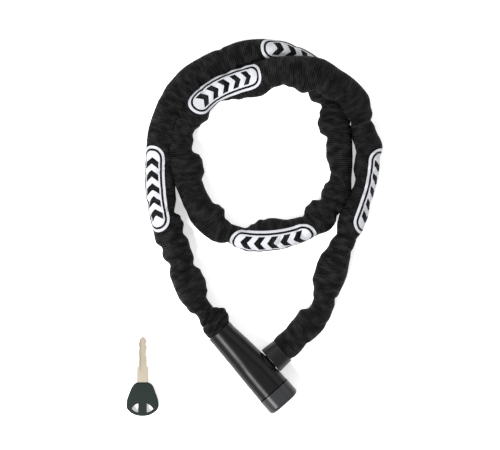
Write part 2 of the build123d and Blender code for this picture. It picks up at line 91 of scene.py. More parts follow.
def mesh_from(name, points, faces, smooth=True):
    mesh = bpy.data.meshes.new(name)
    mesh.from_pydata([tuple(p) for p in points], [], faces)
    mesh.polygons.foreach_set("use_smooth", [smooth] * len(mesh.polygons))
    mesh.update()
    return mesh


def smooth_between(pairs, at):
    """Value at each distance in at, from (distance, value) pairs, easing flat at every pair."""
    xs = np.array([p[0] for p in pairs], float)
    ys = np.array([p[1] for p in pairs], float)
    i = np.clip(np.searchsorted(xs, at, side="right") - 1, 0, len(xs) - 2)
    t = np.clip((at - xs[i]) / (xs[i + 1] - xs[i]), 0, 1)
    return ys[i] + (ys[i + 1] - ys[i]) * t * t * (3 - 2 * t)


# ---------------------------------------------------------------- the sleeve's line

# The route of part.py, with some points moved a few millimetres to where the slack fabric lies.
ROUTE = [
    (-48, 0, 12.75), (-70, -0.8, 12.75), (-106, 8, 11), (-146, 24, 11), (-182, 46, 11),
    (-211, 74, 11), (-229, 103, 11), (-231.5, 137, 11), (-222.5, 170, 11), (-203, 200, 11),
    (-175, 214, 10.8), (-142, 212, 10.6), (-109, 192, 11), (-80, 168, 11), (-65, 143, 11),
    (-66, 115, 11), (-82, 87, 11), (-103, 66, 11), (-130, 57, 11), (-160, 63, 11), (-193, 79, 12),
    (-210, 107, 13), (-211.5, 137, 14), (-200, 167, 17), (-182, 197, 30), (-151, 219, 32),
    (-118, 224, 19), (-88, 209, 11), (-65, 187, 11), (-49, 160, 11), (-34, 131, 11), (-16, 101, 11),
    (-3, 72, 11.4), (0, 50, 13.75), (0, 30.5, 13.75),
]
STEP = 2.0          # between rings of the sleeve, mm
AROUND = 40         # points in a ring


def nurbs_points(route):
    """Points along the smooth line that has the route as its control points."""
    data = bpy.data.curves.new("route", "CURVE")
    data.dimensions = "3D"
    data.resolution_u = 24
    line = data.splines.new("NURBS")
    line.points.add(len(route) - 1)
    for point, place in zip(line.points, route):
        point.co = (*(Vector(place) * MM), 1)
    line.order_u = 3
    line.use_endpoint_u = True
    holder = new_object("route", data)
    mesh = bpy.data.meshes.new_from_object(holder)
    points = np.array([v.co for v in mesh.vertices])
    bpy.data.objects.remove(holder)
    return points


def along_line(points, spacing):
    """Evenly spaced places on the line, with their distance, direction, left and up."""
    run = np.r_[0, np.cumsum(np.linalg.norm(np.diff(points, axis=0), axis=1))]
    count = int(round(run[-1] / spacing)) + 1
    distance = np.linspace(0, run[-1], count)
    place = np.stack([np.interp(distance, run, points[:, k]) for k in range(3)], axis=1)
    ahead = np.gradient(place, axis=0)
    ahead /= np.linalg.norm(ahead, axis=1)[:, None]
    left = np.stack([-ahead[:, 1], ahead[:, 0], np.zeros(count)], axis=1)
    left /= np.linalg.norm(left, axis=1)[:, None]
    up = np.cross(ahead, left)
    return distance, place, ahead, left, up


line_points = nurbs_points(ROUTE)
LENGTH = float(np.linalg.norm(np.diff(line_points, axis=0), axis=1).sum())
distance, centre, ahead, left, up = along_line(line_points, STEP * MM)
distance_mm = distance / MM
RINGS = len(distance)


# ---------------------------------------------------------------- the sleeve's puffs

# How far the fabric stands out of its line, in mm, at distances along it from the casing's mouth.
# LEFT is the outside of both turns, RIGHT the inside, where the spare length gathers into puffs.
LEFT = [
    (0, 10), (4, 11), (9, 11), (15, 9), (24, 7.5), (33, 10.5), (45, 12.6), (63, 12.4), (74, 10), (83, 12.5),
    (90, 11.7), (97, 14.2), (108, 13.2), (135, 13.5), (170, 12.9), (190, 13.6), (206, 12.8), (243, 14),
    (260, 12.8), (276, 12), (293, 12.9), (320, 11.5), (335, 10.6), (354, 11.8), (380, 12), (410, 12),
    (440, 11), (455, 10.5), (468, 12.2), (486, 9.5), (498, 11.9), (509, 8.7), (522, 9.2), (543, 10.7),
    (563, 11.7), (579, 9), (593, 13), (611, 13.2), (622, 11.7), (636, 11), (646, 11.6), (680, 11.5),
    (720, 12), (760, 12), (795, 13), (825, 15.5), (842, 12.8), (868, 12.9), (880, 9.6), (888, 7.2),
    (895, 8.4), (910, 12.4), (922, 9.9), (945, 9.3), (957, 9.2), (973, 10.9), (983, 11), (992, 9.8),
    (1005, 9.5), (1026, 11.6), (1048, 10.2), (1071, 11.8), (1092, 10.6), (1104, 10.6), (1112, 10.3),
]
RIGHT = [
    (0, 10), (3, 10.6), (8, 14), (14, 15), (20, 10.6), (25, 6), (32, 7.6), (42, 12.5), (50, 14.3), (59, 13.8),
    (66, 11), (76, 12.7), (89, 12.9), (97, 11.2), (106, 13.2), (112, 12), (119, 8.3), (131, 11.4), (150, 12),
    (175, 10.5), (188, 12.5), (210, 10.8), (228, 12.8), (247, 11), (266, 12.8), (286, 10.6), (303, 12.6),
    (330, 12), (360, 13), (380, 15.6), (390, 8.9), (398, 12), (407, 15.4), (415, 14), (421, 8.7), (430, 10.2),
    (438, 10.6), (448, 8), (457, 4.4), (466, 10.6), (473, 11.7), (481, 10.2), (489, 15.6), (500, 16),
    (511, 11), (525, 12.7), (543, 16.4), (555, 15.6), (563, 11), (571, 4.7), (580, 6.4), (592, 8.6),
    (600, 14.6), (607, 14.2), (616, 11), (630, 10.8), (639, 11.2), (647, 15.8), (659, 16.4), (665, 14.6),
    (670, 7.8), (680, 8.5), (689, 5.8), (698, 9.6), (708, 12.4), (720, 8.5), (730, 8), (740, 11), (752, 14.6),
    (770, 16.9), (786, 11.8), (794, 11), (803, 12.6), (815, 16.6), (828, 12), (842, 13.5), (856, 10.5),
    (870, 13), (884, 10.5), (899, 12), (915, 10), (930, 11.5), (944, 7.6), (956, 10), (972, 12), (981, 11.2),
    (992, 8.5), (1004, 10.8), (1018, 15.3), (1036, 15), (1047, 10.4), (1058, 6.6), (1063, 7), (1072, 13.6),
    (1086, 12.6), (1098, 10.6), (1108, 11), (1112, 10.3),
]
LEAST_OUT = 6.3         # the links inside don't let it be narrower
MEAN_OUT = 11.5         # what the sleeve stands out where it is neither full nor pinched
HEIGHT = 9.9            # of the fabric's top over the line, before puffs
DEPTH = 9.6             # of its underside below the line
SEAT = 0.35             # the fabric's lowest point over the floor
RIGHT_EXTRA = 1.3       # the gathers' fullness past their outline's dips
ROUND_ACROSS = 0.92     # exponents of the section: under 1 it is squarer than an ellipse
ROUND_UP = 0.86
PUFF_SHARE = 0.3        # of a puff's fullness that also lifts its top

RIDGE_HEIGHT = 0.4      # beside a fold, as a share of its depth
RIDGE_AWAY = 2.1        # and, in the fold's widths, where the ridge runs and how wide it is
RIDGE_WIDTH = 1.2
SLANT_RADIUS = 10       # radius at which a fold's slant is measured
SINK_RADIUS = 11        # radius at which its depth is
SIDES_KEEP = 0.75       # share of a fold's depth that the outline doesn't show
PLAIN_END = 2           # of the sleeve has no folds, and they deepen over the next stretch
FOLD_IN = 8

PINCH_DEPTH = 3.4       # of the folds that run across from each pinch
PINCH_WIDTH = 2.5
PINCH_TURN = 0.35       # how far up from the sleeve's side a pinch's fold has its middle, in radians
MOUTH_DEPTH = 3.0       # of the folds where the sleeve goes into the casing
MOUTH_WIDTH = 1.6
MOUTH_REACH = 1.1
# Distance, turn and slant of each
MOUTH_FOLDS = [(5.5, 1.9, 0.5), (9.5, 1.0, -0.4), (12.5, 2.2, -0.3), (16.0, 1.4, 0.6)]
SLACK_DEPTH = 1.9       # of the small folds between the others
SLACK_FROM = 18.0
SLACK_END = 14.0        # of the sleeve has no slack folds

LINK_PITCH = 16.68
LINK_INSIDE = 18.0
LINK_WIDTH = 15.0
BAR = 5.0
FIRST_LINK = 2.0        # its middle, from the casing's mouth
LINKS_SHORT = 26.0      # the first link's middle to the last's is this much shorter than the line
FADE = 25.0             # over which the links' line comes back to the middle at each end
LINK_REACH = 8.1        # the fabric stays this far from the middle of a link
LINK_SMOOTHING = 13     # rings that the links' line is averaged over


def pinches(profile, least=0.8):
    """The (distance, depth) of each place where the outline dips between two puffs."""
    found = []
    for before, here, after in zip(profile, profile[1:], profile[2:]):
        dip = min(before[1], after[1]) - here[1]
        if dip > least:
            found.append((here[0], dip))
    return found


def folds():
    """(distance, turn round the section, slant, half reach, depth, half width) of each fold: mm, radians."""
    made = []
    for profile, side in ((RIGHT, math.pi), (LEFT, 0.0)):
        for at, dip in pinches(profile):
            depth = PINCH_DEPTH * min(1.3, 0.4 + dip / 5)
            turn = side + (PINCH_TURN if side == 0 else -PINCH_TURN)
            made.append((at, turn, RNG.uniform(-0.45, 0.45), RNG.uniform(1.0, 1.6), depth, PINCH_WIDTH))
    for at, turn, slant in MOUTH_FOLDS:
        made.append((at, turn, slant, MOUTH_REACH, MOUTH_DEPTH, MOUTH_WIDTH))
    at = SLACK_FROM
    while at < distance_mm[-1] - SLACK_END:
        turn = RNG.uniform(0.3, math.pi - 0.1)
        depth = SLACK_DEPTH * RNG.uniform(0.4, 1.0)
        made.append((at, turn, RNG.uniform(-0.9, 0.9), RNG.uniform(0.5, 1.1), depth, RNG.uniform(1.7, 3.4)))
        at += RNG.uniform(5, 13)
    return made


def outline():
    """How far the sleeve stands out to the left and to the right at each ring, in mm."""
    out_right = np.maximum(smooth_between(RIGHT, distance_mm) + RIGHT_EXTRA, LEAST_OUT)
    return smooth_between(LEFT, distance_mm), out_right


def sleeve_grid():
    """The sleeve before its cloth settles: RINGS x AROUND points, from the left side over the top."""
    out_left, out_right = outline()
    angle = np.linspace(0, 2 * math.pi, AROUND, endpoint=False)
    cos, sin = np.cos(angle), np.sin(angle)
    side = np.where(cos[None, :] > 0, out_left[:, None], out_right[:, None])
    across = side * np.sign(cos) * np.abs(cos) ** ROUND_ACROSS
    fullness = (out_left + out_right) / 2 - MEAN_OUT
    top = HEIGHT + PUFF_SHARE * fullness
    height = np.where(sin[None, :] > 0, top[:, None], DEPTH) * np.sign(sin) * np.abs(sin) ** ROUND_UP
    sink = np.zeros_like(height)
    for at, turn, slant, reach, depth, width in folds():
        away = (angle - turn + math.pi) % (2 * math.pi) - math.pi
        near = np.clip(1 - (away / reach) ** 2, 0, 1) ** 1.5
        gap = distance_mm[:, None] - at - slant * away[None, :] * SLANT_RADIUS
        beside = (np.abs(gap) - RIDGE_AWAY * width) / (RIDGE_WIDTH * width)
        ridge = RIDGE_HEIGHT * np.exp(-(beside ** 2))
        sink += depth * near[None, :] * (np.exp(-((gap / width) ** 2)) - ridge)
    from_end = np.minimum(distance_mm - PLAIN_END, distance_mm[-1] - distance_mm - PLAIN_END)
    ends = np.clip(from_end / FOLD_IN, 0, 1)
    sink *= ends[:, None] * (1 - SIDES_KEEP * np.abs(cos[None, :]) ** 4)
    shrink = 1 - sink / SINK_RADIUS
    across *= shrink
    height *= shrink
    shift = across[..., None] * left[:, None, :] + height[..., None] * up[:, None, :]
    grid = centre[:, None, :] + shift * MM
    grid[..., 2] = np.maximum(grid[..., 2], SEAT * MM)
    return grid


def grid_faces(rings, around):
    """Faces of an open tube, whose points are listed ring by ring."""
    return [
        (i * around + j, i * around + (j + 1) % around,
         (i + 1) * around + (j + 1) % around, (i + 1) * around + j)
        for i in range(rings - 1) for j in range(around)
    ]


SIM_SCALE = 20          # the sleeve is made larger for the cloth solver, which is unsteady at small sizes
SIM_FRAMES = 14
SIM_CAP = 1.3           # mm that a point may move
SIM_SLACK = 0.06        # extra length of the fabric, which buckles into small folds


def settle_cloth(grid):
    """Lets the slack fabric buckle over its own shape: a short cloth simulation."""
    points = grid.reshape(-1, 3) * SIM_SCALE
    cloth_mesh = mesh_from("settling", points, grid_faces(*grid.shape[:2]))
    cloth = new_object("settling", cloth_mesh)
    pins = cloth.vertex_groups.new(name="pins")
    around = grid.shape[1]
    end_rings = list(range(2 * around)) + list(range(len(points) - 2 * around, len(points)))
    pins.add(end_rings, 1.0, "REPLACE")
    modifier = cloth.modifiers.new("cloth", "CLOTH")
    settings = modifier.settings
    settings.quality = 6
    settings.mass = 0.25
    settings.tension_stiffness = 18
    settings.compression_stiffness = 18
    settings.shear_stiffness = 6
    settings.bending_stiffness = 1.2
    settings.air_damping = 6
    settings.shrink_min = -SIM_SLACK
    settings.shrink_max = -SIM_SLACK
    settings.use_pressure = True
    settings.uniform_pressure_force = 0.6
    settings.vertex_group_mass = "pins"
    settings.effector_weights.gravity = 0.12
    modifier.collision_settings.use_collision = False
    scene = bpy.context.scene
    scene.frame_start = 1
    scene.frame_end = SIM_FRAMES
    for number in range(1, SIM_FRAMES + 1):
        scene.frame_set(number)
    evaluated = cloth.evaluated_get(bpy.context.evaluated_depsgraph_get())
    moved = np.empty(len(points) * 3)
    evaluated.data.vertices.foreach_get("co", moved)
    scene.frame_set(1)
    bpy.data.objects.remove(cloth)
    shift = moved.reshape(grid.shape) / SIM_SCALE - grid
    size = np.linalg.norm(shift, axis=2, keepdims=True)
    cap = SIM_CAP * MM
    shift *= np.where(size > 0, cap * np.tanh(size / cap) / np.maximum(size, 1e-9), 1)
    settled = grid + shift
    settled[..., 2] = np.maximum(settled[..., 2], SEAT * MM)
    return settled


def catmull(values, at, closed):
    """values resampled along their first axis at fractional indices, on a Catmull-Rom curve."""
    count = len(values)
    i = np.floor(at).astype(int)
    t = (at - i).reshape(-1, *([1] * (values.ndim - 1)))
    pick = (lambda k: values[(i + k) % count]) if closed else (lambda k: values[np.clip(i + k, 0, count - 1)])
    a, b, c, d = pick(-1), pick(0), pick(1), pick(2)
    square = 2 * a - 5 * b + 4 * c - d
    cube = 3 * b - 3 * c + d - a
    return 0.5 * (2 * b + (c - a) * t + square * t ** 2 + cube * t ** 3)


def refine(grid, factor_along, factor_around):
    """The same surface with more rings and more points in each."""
    rings, around = grid.shape[:2]
    fine = catmull(grid, np.linspace(0, rings - 1, (rings - 1) * factor_along + 1), False)
    fine = np.swapaxes(fine, 0, 1)
    fine = catmull(fine, np.arange(around * factor_around) / factor_around, True)
    return np.swapaxes(fine, 0, 1)


def chain_line():
    """The line the links lie on: the middle of the sleeve, whose two sides aren't equally full."""
    out_left, out_right = outline()
    fade = np.clip(np.minimum(distance_mm, distance_mm[-1] - distance_mm) / FADE, 0, 1)
    window = np.ones(LINK_SMOOTHING) / LINK_SMOOTHING
    shift = np.convolve(np.pad((out_left - out_right) / 2, LINK_SMOOTHING // 2, "edge"), window, "valid")
    return centre + left * (shift * fade)[:, None] * MM


def link_places():
    """Each link's middle, its direction and the ring it lies at."""
    line = chain_line()
    span = distance_mm[-1] - LINKS_SHORT
    count = int(span / LINK_PITCH)
    near = 5        # rings before and after, which are inside the link's two ends
    places = []
    for number in range(count + 1):
        at = (FIRST_LINK + number * span / count) / distance_mm[-1] * (RINGS - 1)
        spots = np.array([at, max(at - near, 0), min(at + near, RINGS - 1)])
        middle, before, after = catmull(line, spots, False)
        direction = after - before
        places.append(((before + after + 2 * middle) / 4, direction / np.linalg.norm(direction), at))
    return places


def over_the_links(grid):
    """Lifts the fabric off the links where a fold would pass through them."""
    lifted = grid.copy()
    finer = (len(grid) - 1) / (RINGS - 1)
    nearby = 9      # rings, a little more than half a link
    for middle, direction, at in link_places():
        low, high = int(max(at - nearby, 0) * finer), int(min(at + nearby, RINGS - 1) * finer) + 1
        out = lifted[low:high] - middle
        along = (out * direction).sum(axis=2, keepdims=True)
        out -= along * direction
        reach = np.linalg.norm(out, axis=2, keepdims=True)
        past_end = np.clip((np.abs(along) / MM - LINK_INSIDE / 2) / BAR, 0, 1)
        least = LINK_REACH * MM * np.sqrt(1 - 0.75 * past_end ** 2)
        push = np.where(np.abs(along) < (LINK_INSIDE / 2 + BAR + 1) * MM, np.maximum(least - reach, 0), 0)
        lifted[low:high] += out / np.maximum(reach, 1e-9) * push
    return lifted


coarse = sleeve_grid()
coarse = settle_cloth(coarse)
fine = over_the_links(refine(over_the_links(coarse), 2, 2))
FINE_STEP = LENGTH / (fine.shape[0] - 1)


def ring_lengths(grid):
    """Distance round each ring from its first point, closed back to it."""
    closed = np.concatenate([grid, grid[:, :1]], axis=1)
    steps = np.linalg.norm(np.diff(closed, axis=1), axis=2)
    return np.concatenate([np.zeros((len(grid), 1)), np.cumsum(steps, axis=1)], axis=1)


def sleeve_mesh(grid):
    rings, around = grid.shape[:2]
    mesh = mesh_from("sleeve", grid.reshape(-1, 3), grid_faces(rings, around))
    lengths = ring_lengths(grid)
    uv = mesh.uv_layers.new(name="weave")
    coords = []
    for i in range(rings - 1):
        for j in range(around):
            for ring, spot in ((i, j), (i, j + 1), (i + 1, j + 1), (i + 1, j)):
                coords += [ring * FINE_STEP, lengths[ring, spot]]
    uv.data.foreach_set("uv", coords)
    return mesh


sleeve = new_object("fabric_sleeve", sleeve_mesh(fine))
SLEEVE_NODES = [
    "sleeve_outer_left", "sleeve_outer_top", "sleeve_inner_right", "sleeve_inner_left", "sleeve_hump",
    "sleeve_outer_right", "sleeve_at_bolt",
]
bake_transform(sleeve)
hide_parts(*SLEEVE_NODES)


# ---------------------------------------------------------------- the chain inside the sleeve

LINK_EDGE = 0.9         # of the bar's corners, broken
BEND_STEPS = 8          # faces round each end of a link


def grid_faces_closed(rings, around):
    return [
        (i * around + j, ((i + 1) % rings) * around + j, ((i + 1) % rings) * around + (j + 1) % around,
         i * around + (j + 1) % around)
        for i in range(rings) for j in range(around)
    ]


def link_template():
    """One link along X, flat: a square bar with broken edges, bent into a long ring."""
    half, edge = BAR / 2, LINK_EDGE
    section = [
        (-half, -half + edge), (-half + edge, -half), (half - edge, -half), (half, -half + edge),
        (half, half - edge), (half - edge, half), (-half + edge, half), (-half, half - edge),
    ]
    radius = (LINK_WIDTH - BAR) / 2
    straight = (LINK_INSIDE + BAR) / 2 - radius
    spine = []
    for end, first in ((1, -90), (-1, 90)):
        for step in range(BEND_STEPS + 1):
            turn = math.radians(first + 180 * step / BEND_STEPS)
            spine.append((end * straight, math.cos(turn), math.sin(turn)))
    points = []
    for shift, cos, sin in spine:
        for outwards, height in section:
            reach = radius + outwards
            points.append((shift + cos * reach, sin * reach, height))
    return np.array(points) * MM, grid_faces_closed(len(spine), len(section))


def chain_mesh():
    """Links along the middle of the sleeve, leaning to the left and to the right in turn."""
    template, faces = link_template()
    points, all_faces = [], []
    for number, (place, direction, at) in enumerate(link_places()):
        k = min(int(round(at)), RINGS - 1)
        lean = 1 if number % 2 == 0 else -1
        sideways = left[k] + lean * up[k]
        sideways -= direction * sideways.dot(direction)
        sideways /= np.linalg.norm(sideways)
        turned = template[:, :1] * direction + template[:, 1:2] * sideways
        turned = turned + template[:, 2:] * np.cross(direction, sideways)
        base = number * len(template)
        points.append(place + turned)
        all_faces += [tuple(base + v for v in face) for face in faces]
    return mesh_from("chain_links", np.concatenate(points), all_faces, smooth=False)


chain = new_object("chain_links", chain_mesh())
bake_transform(chain)
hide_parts("chain_links_flat", "chain_links_upright", "chain_links_at_bolt")


# ---------------------------------------------------------------- the printed patches

PRINT_LENGTH = 73.0
PRINT_WIDTH = 23.0
PRINT_CORNER = 11.0
PRINT_LIFT = 0.22       # over the fabric
LINE_INSET = 2.3        # the thin black line inside the patch's edge
LINE_WIDTH = 1.9
CUT_GRID = 1.3          # size of the faces that bend with the fabric
CHEVRON_XS = (-22, -11, 0, 11, 22)
CHEVRON = {"half_height": 6.0, "thick": 5.6, "lean": 2.2}
# Middle of each patch: distance along the sleeve and distance round it from its top towards the left, mm
PATCHES = [(140.5, 6.9), (742.5, 0.2), (344.5, 3.2), (544.0, 4.4), (948.5, 11.0)]
NEAR_BOLT = 4           # the patch that moves with the sleeve's far end


def rounded_rectangle(length, width, corner, steps=10):
    points = []
    for cx, cy, first in ((1, 1, 0), (-1, 1, 90), (-1, -1, 180), (1, -1, 270)):
        for step in range(steps + 1):
            turn = math.radians(first + 90 * step / steps)
            x = cx * (length / 2 - corner) + corner * math.cos(turn)
            y = cy * (width / 2 - corner) + corner * math.sin(turn)
            points.append((x, y))
    return points


def chevron(x, half_height, thick, lean):
    """A bold arrowhead bar, as a closed outline."""
    return [
        (x - thick / 2 - lean, -half_height), (x + thick / 2 - lean, -half_height), (x + thick / 2 + lean, 0),
        (x + thick / 2 - lean, half_height), (x - thick / 2 - lean, half_height), (x - thick / 2 + lean, 0),
    ]


def patch_outline(inset):
    return rounded_rectangle(PRINT_LENGTH - 2 * inset, PRINT_WIDTH - 2 * inset, PRINT_CORNER - inset)


def print_outlines():
    """White areas as lists of outlines, each with its holes after it."""
    rim = [patch_outline(0), patch_outline(LINE_INSET)]
    field = [patch_outline(LINE_INSET + LINE_WIDTH)]
    field += [chevron(x, **CHEVRON) for x in CHEVRON_XS]
    return [rim, field]


def flat_print():
    """The patch's white areas as one flat mesh in the XY plane, in mm, cut into small faces."""
    work = bmesh.new()
    for outlines in print_outlines():
        data = bpy.data.curves.new("outline", "CURVE")
        data.dimensions = "2D"
        data.fill_mode = "BOTH"
        for outline in outlines:
            loop = data.splines.new("POLY")
            loop.points.add(len(outline) - 1)
            for point, (x, y) in zip(loop.points, outline):
                point.co = (x, y, 0, 1)
            loop.use_cyclic_u = True
        holder = new_object("outline", data)
        mesh = bpy.data.meshes.new_from_object(holder)
        work.from_mesh(mesh)
        bpy.data.objects.remove(holder)
    for axis, reach in ((0, PRINT_LENGTH / 2), (1, PRINT_WIDTH / 2)):
        count = int(2 * reach / CUT_GRID)
        for number in range(1, count):
            place, normal = [0.0, 0.0, 0.0], [0.0, 0.0, 0.0]
            place[axis] = -reach + 2 * reach * number / count
            normal[axis] = 1.0
            everything = work.verts[:] + work.edges[:] + work.faces[:]
            bmesh.ops.bisect_plane(work, geom=everything, plane_co=place, plane_no=normal, dist=1e-4)
    bmesh.ops.remove_doubles(work, verts=work.verts[:], dist=1e-3)
    bmesh.ops.recalc_face_normals(work, faces=work.faces[:])
    flat = bpy.data.meshes.new("print")
    work.to_mesh(flat)
    work.free()
    return flat


def surface_point(grid, normals, lengths, along, around, lift):
    """A point on the sleeve at a distance along it, and round it from its top towards the left."""
    row = np.clip(along * MM / FINE_STEP, 0, len(grid) - 1.001)
    i = int(row)
    t = row - i
    count = grid.shape[1]
    spots = []
    for ring in (i, i + 1):
        total = lengths[ring, -1]
        target = (lengths[ring, count // 4] - around * MM) % total
        j = int(np.searchsorted(lengths[ring], target, side="right")) - 1
        span = lengths[ring, j + 1] - lengths[ring, j]
        s = (target - lengths[ring, j]) / span
        spot = grid[ring, j] * (1 - s) + grid[ring, (j + 1) % count] * s
        normal = normals[ring, j] * (1 - s) + normals[ring, (j + 1) % count] * s
        spots.append((spot, normal))
    spot = spots[0][0] * (1 - t) + spots[1][0] * t
    normal = spots[0][1] * (1 - t) + spots[1][1] * t
    return spot + normal / np.linalg.norm(normal) * lift * MM


def grid_normals(grid):
    rings, around = grid.shape[:2]
    run = np.gradient(grid, axis=0)
    turn = np.roll(grid, -1, axis=1) - np.roll(grid, 1, axis=1)
    normal = np.cross(turn, run)
    normal /= np.maximum(np.linalg.norm(normal, axis=2, keepdims=True), 1e-12)
    outwards = grid - centre_of(grid)
    sign = np.sign((normal * outwards).sum(axis=2).mean())
    return normal * sign


def centre_of(grid):
    return grid.mean(axis=1, keepdims=True)


def print_patch(number, flat, normals, lengths):
    along0, around0 = PATCHES[number]
    mesh = flat.copy()
    uv = mesh.uv_layers.new(name="weave")
    flat_co = [(v.co.x, v.co.y) for v in mesh.vertices]
    for loop, spot in zip(mesh.loops, uv.data):
        x, y = flat_co[loop.vertex_index]
        spot.uv = ((along0 + x) * MM, (around0 + y) * MM)
    for vertex in mesh.vertices:
        x, y = flat_co[vertex.index]
        vertex.co = surface_point(fine, normals, lengths, along0 + x, around0 + y, PRINT_LIFT)
    mesh.polygons.foreach_set("use_smooth", [True] * len(mesh.polygons))
    mesh.update()
    patch = new_object(f"printed_patch_{number + 1}", mesh)
    if number == NEAR_BOLT:
        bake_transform(patch)
    else:
        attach(patch, "lock")
    return patch


flat_patch = flat_print()
fine_normals = grid_normals(fine)
fine_lengths = ring_lengths(fine)
patches = [print_patch(n, flat_patch, fine_normals, fine_lengths) for n in range(len(PATCHES))]


# ---------------------------------------------------------------- materials

def new_material(name):
    material = bpy.data.materials.new(name)
    material.use_nodes = True
    nodes = material.node_tree.nodes
    nodes.clear()
    output = nodes.new("ShaderNodeOutputMaterial")
    shader = nodes.new("ShaderNodeBsdfPrincipled")
    material.node_tree.links.new(shader.outputs[0], output.inputs[0])
    return material, shader


class Graph:
    """Short ways to add nodes to a material."""

    def __init__(self, material, shader):
        self.tree = material.node_tree
        self.shader = shader

    def add(self, kind, **inputs):
        node = self.tree.nodes.new(kind)
        for name, value in inputs.items():
            self.put(node.inputs[name.replace("_", " ")], value)
        return node

    def put(self, socket, value):
        if isinstance(value, bpy.types.NodeSocket):
            self.tree.links.new(value, socket)
        else:
            socket.default_value = value

    def math(self, operation, a, b=0.0):
        node = self.tree.nodes.new("ShaderNodeMath")
        node.operation = operation
        self.put(node.inputs[0], a)
        self.put(node.inputs[1], b)
        return node.outputs[0]

    def uv(self, name):
        node = self.tree.nodes.new("ShaderNodeUVMap")
        node.uv_map = name
        return node.outputs[0]

    def place(self):
        return self.tree.nodes.new("ShaderNodeTexCoord").outputs["Object"]

    def noise(self, vector, scale, detail=3.0, roughness=0.5):
        return self.add("ShaderNodeTexNoise", Vector=vector, Scale=scale, Detail=detail, Roughness=roughness)

    def ramp(self, factor, low, high):
        """Maps factor 0..1 to low..high."""
        node = self.tree.nodes.new("ShaderNodeMapRange")
        self.put(node.inputs["Value"], factor)
        node.inputs["To Min"].default_value = low
        node.inputs["To Max"].default_value = high
        return node.outputs[0]

    def mix(self, factor, a, b):
        node = self.tree.nodes.new("ShaderNodeMix")
        node.data_type = "RGBA"
        self.put(node.inputs[0], factor)
        self.put(node.inputs[6], (*a, 1) if isinstance(a, tuple) else a)
        self.put(node.inputs[7], (*b, 1) if isinstance(b, tuple) else b)
        return node.outputs[2]

    def bump(self, height, strength, distance):
        node = self.add("ShaderNodeBump", Height=height, Strength=strength, Distance=distance)
        self.tree.links.new(node.outputs[0], self.shader.inputs["Normal"])
        return node


RIB_PITCH = 1.7 * MM        # crosswise ribs of the woven nylon
YARN_PITCH = 0.9 * MM       # yarns that cross them


def weave_height(graph):
    """Ribs across the sleeve, with the yarns that pass over and under them."""
    coords = graph.add("ShaderNodeSeparateXYZ", Vector=graph.uv("weave"))
    wobble = graph.noise(graph.uv("weave"), 90.0, 2.0)
    shifted = graph.math("ADD", coords.outputs[0], graph.math("MULTIPLY", wobble.outputs["Fac"], 0.0011))
    rib = graph.math("SINE", graph.math("MULTIPLY", shifted, 2 * math.pi / RIB_PITCH))
    yarn = graph.math("SINE", graph.math("MULTIPLY", coords.outputs[1], 2 * math.pi / YARN_PITCH))
    lifted = graph.math("MULTIPLY", yarn, graph.math("ADD", graph.math("MULTIPLY", rib, 0.25), 0.25))
    return graph.math("ADD", graph.math("MULTIPLY", rib, 0.6), lifted)


def wrinkles(graph):
    """Small slack folds, mostly across the sleeve."""
    stretched = graph.add("ShaderNodeMapping", Vector=graph.uv("weave"))
    stretched.inputs["Scale"].default_value = (1.0, 0.42, 1.0)
    stretched.inputs["Rotation"].default_value = (0, 0, 0.3)
    return graph.noise(stretched.outputs[0], 210.0, 3.0, 0.55).outputs["Fac"]


def fabric_material():
    material, shader = new_material("woven_nylon")
    graph = Graph(material, shader)
    height = weave_height(graph)
    creases = wrinkles(graph)
    folds = graph.math("MULTIPLY", creases, 12.0)
    patchy = graph.noise(graph.uv("weave"), 34.0, 4.0)
    fuzz = graph.noise(graph.uv("weave"), 1500.0, 2.0)
    # Colour: random patchy and fuzzy tone, plus painted light and shade. The ribs' crests are painted lighter
    # and their hollows darker, following height.
    light = graph.math("MULTIPLY", height, 0.5)
    light = graph.math("ADD", light, graph.math("MULTIPLY", fuzz.outputs["Fac"], 0.3))
    light = graph.math("ADD", light, graph.math("MULTIPLY", patchy.outputs["Fac"], 0.3))
    # Painted shade: the hollows of the small creases are painted darker.
    light = graph.math("ADD", light, graph.math("MULTIPLY", graph.math("SUBTRACT", creases, 0.5), 2.4))
    colour = graph.mix(light, (0.0002, 0.0002, 0.0003), (0.0190, 0.0190, 0.0200))
    graph.put(shader.inputs["Base Color"], colour)
    graph.put(shader.inputs["Roughness"], graph.ramp(fuzz.outputs["Fac"], 0.62, 0.82))
    shader.inputs["Specular IOR Level"].default_value = 0.09
    graph.bump(graph.math("ADD", height, folds), 1.0, 0.0004)
    return material


def print_material():
    material, shader = new_material("reflective_print")
    graph = Graph(material, shader)
    height = weave_height(graph)
    grain = graph.noise(graph.uv("weave"), 700.0, 3.0)
    worn = graph.noise(graph.uv("weave"), 60.0, 3.0)
    # Colour: random grain and worn tone, plus painted light and shade. The ribs' crests are painted a little
    # lighter and their hollows darker.
    shade = graph.math("MULTIPLY", height, 0.16)
    shade = graph.math("ADD", shade, graph.math("MULTIPLY", grain.outputs["Fac"], 0.5))
    shade = graph.math("ADD", shade, graph.math("MULTIPLY", worn.outputs["Fac"], 0.35))
    graph.put(shader.inputs["Base Color"], graph.mix(shade, (0.31, 0.315, 0.335), (0.50, 0.505, 0.53)))
    graph.put(shader.inputs["Roughness"], graph.ramp(grain.outputs["Fac"], 0.45, 0.7))
    graph.bump(height, 0.35, 0.00012)
    return material


# Painted shade in the narrow gap where the casing meets the cap: near the seam the plastic is painted black and
# its reflection is taken away.
SEAM_X = 21.2 * MM          # where the casing meets the cap
SEAM_SHADE_FULL = 0.3 * MM        # from the seam: black up to here
SEAM_CLEAR = 0.65 * MM      # and the plastic's own colour from here


